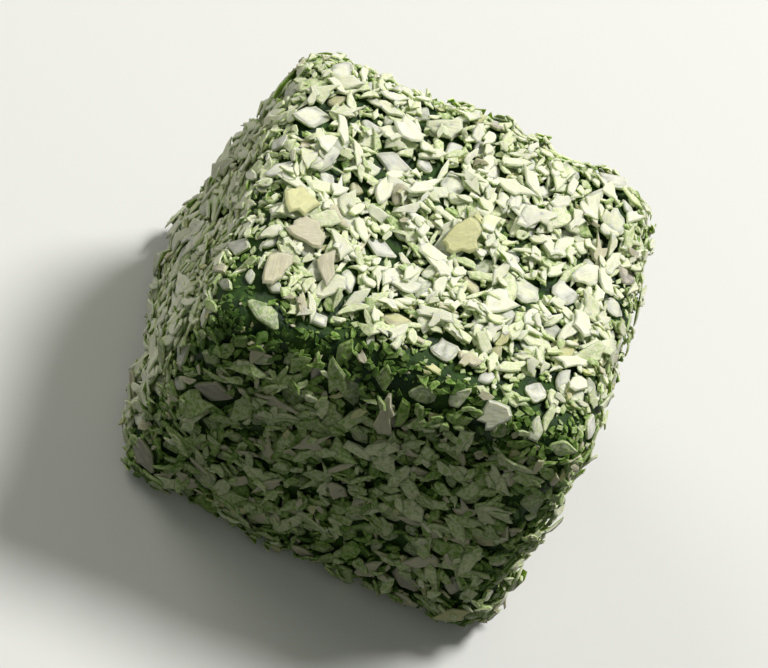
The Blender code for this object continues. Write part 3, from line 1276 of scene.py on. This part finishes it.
class DELIGHT_OT_stage(bpy.types.Operator):
    """Set the floor, the light and the camera"""

    bl_idname = "delight.stage"
    bl_label = "Floor, light and camera"

    def execute(self, context):
        settings = context.scene.delight_stage
        middle = (NODE_LOW + NODE_HIGH) / 2
        self.lay_floor(settings)
        for name, (size, tint) in LIGHTS.items():
            self.hang_light(settings, name, size, tint, middle)
        self.set_sky(settings)
        self.place_camera(settings, middle)
        context.scene.view_settings.view_transform = "Standard"
        context.scene.view_settings.look = "None"
        return {"FINISHED"}

    @staticmethod
    def direction(azimuth, elevation):
        """From the sweet towards something that stands round it."""
        flat = math.cos(elevation)
        return Vector(
            (math.sin(azimuth) * flat, -math.cos(azimuth) * flat, math.sin(elevation))
        )

    def lay_floor(self, settings):
        """Lays a plain floor just under the sweet."""
        bm = bmesh.new()
        bmesh.ops.create_grid(bm, x_segments=1, y_segments=1, size=FLOOR_HALF)
        material, shader, _, _ = new_material("floor")
        shader.inputs["Base Color"].default_value = (*settings.floor_colour, 1)
        shader.inputs["Roughness"].default_value = 0.8
        floor = new_piece("floor", bm, material)
        floor.location.z = -FLOOR_DROP
        # The floor throws no light back, so the shaded side stays deep
        floor.visible_diffuse = False

    def hang_light(self, settings, name, size, tint, middle):
        """Hangs one of the round soft lights, and turns it to the sweet."""
        azimuth = getattr(settings, f"{name}_azimuth")
        side = self.direction(azimuth, getattr(settings, f"{name}_elevation"))
        data = bpy.data.lights.new(name, "AREA")
        data.shape = "DISK"
        data.size = size
        data.energy = getattr(settings, f"{name}_power")
        data.color = tint
        light = bpy.data.objects.new(name, data)
        light.location = middle + side * LIGHT_DISTANCE
        light.rotation_mode = "QUATERNION"
        light.rotation_quaternion = (-side).to_track_quat("-Z", "Y")
        bpy.context.scene.collection.objects.link(light)

    def set_sky(self, settings):
        """Makes the soft light from above, which is weaker from below."""
        world = bpy.data.worlds.new("soft_sky")
        world.use_nodes = True
        add = node_maker(world.node_tree)
        towards = add("ShaderNodeTexCoord").outputs["Generated"]
        height = add("ShaderNodeSeparateXYZ", {"Vector": towards}).outputs["Z"]
        low = settings.sky_strength * settings.low_sky_share
        sky = world.node_tree.nodes["Background"]
        sky.inputs["Color"].default_value = SKY_COLOUR
        strength = span(add, height, SKY_FOOT, SKY_HEAD, low, settings.sky_strength)
        world.node_tree.links.new(strength, sky.inputs["Strength"])
        bpy.context.scene.world = world

    def place_camera(self, settings, middle):
        """Places the camera where the settings say, turned to the sweet."""
        data = bpy.data.cameras.new("camera")
        data.lens = settings.camera_lens
        data.sensor_width = SENSOR_WIDTH
        data.clip_start = NEAREST_SEEN
        camera = bpy.data.objects.new("camera", data)
        back = self.direction(settings.camera_azimuth, settings.camera_elevation)
        camera.location = middle + back * settings.camera_distance
        look = (-back).to_track_quat("-Z", "Y").to_matrix()
        roll = Matrix.Rotation(settings.camera_roll, 3, "Z")
        camera.rotation_euler = (look @ roll).to_euler()
        bpy.context.scene.collection.objects.link(camera)
        bpy.context.scene.camera = camera


class DELIGHT_PT_panel(bpy.types.Panel):
    """Lists the steps that dress the sweet"""

    bl_idname = "DELIGHT_PT_panel"
    bl_label = "Turkish delight"
    bl_space_type = "VIEW_3D"
    bl_region_type = "UI"
    bl_category = "Turkish Delight"

    def draw(self, context):
        for operator in OPERATORS:
            self.layout.operator(operator.bl_idname)
        for group in (
            context.scene.mint_jelly,
            context.scene.coconut,
            context.scene.delight_stage,
        ):
            box = self.layout.box()
            for name in group.bl_rna.properties.keys():
                if name not in ("name", "rna_type"):
                    box.prop(group, name)


OPERATORS = (
    DELIGHT_OT_jelly,
    DELIGHT_OT_chips,
    DELIGHT_OT_dust,
    DELIGHT_OT_fines,
    DELIGHT_OT_crumbs,
    DELIGHT_OT_shards,
    DELIGHT_OT_slivers,
    DELIGHT_OT_flakes,
    DELIGHT_OT_curls,
    DELIGHT_OT_stage,
)
CLASSES = (JellySettings, CoconutSettings, StageSettings, *OPERATORS, DELIGHT_PT_panel)


def register():
    """Registers the classes and gives the scene its settings."""
    for cls in CLASSES:
        bpy.utils.register_class(cls)
    bpy.types.Scene.mint_jelly = PointerProperty(type=JellySettings)
    bpy.types.Scene.coconut = PointerProperty(type=CoconutSettings)
    bpy.types.Scene.delight_stage = PointerProperty(type=StageSettings)


def unregister():
    """Takes the settings and the classes away again."""
    del bpy.types.Scene.delight_stage
    del bpy.types.Scene.coconut
    del bpy.types.Scene.mint_jelly
    for cls in reversed(CLASSES):
        bpy.utils.unregister_class(cls)


def main():
    """Makes every piece."""
    register()
    bpy.ops.delight.jelly()
    bpy.ops.delight.chips()
    bpy.ops.delight.dust()
    bpy.ops.delight.fines()
    bpy.ops.delight.crumbs()
    bpy.ops.delight.shards()
    bpy.ops.delight.slivers()
    bpy.ops.delight.flakes()
    bpy.ops.delight.curls()
    bpy.ops.delight.stage()


if __name__ == "__main__":
    main()
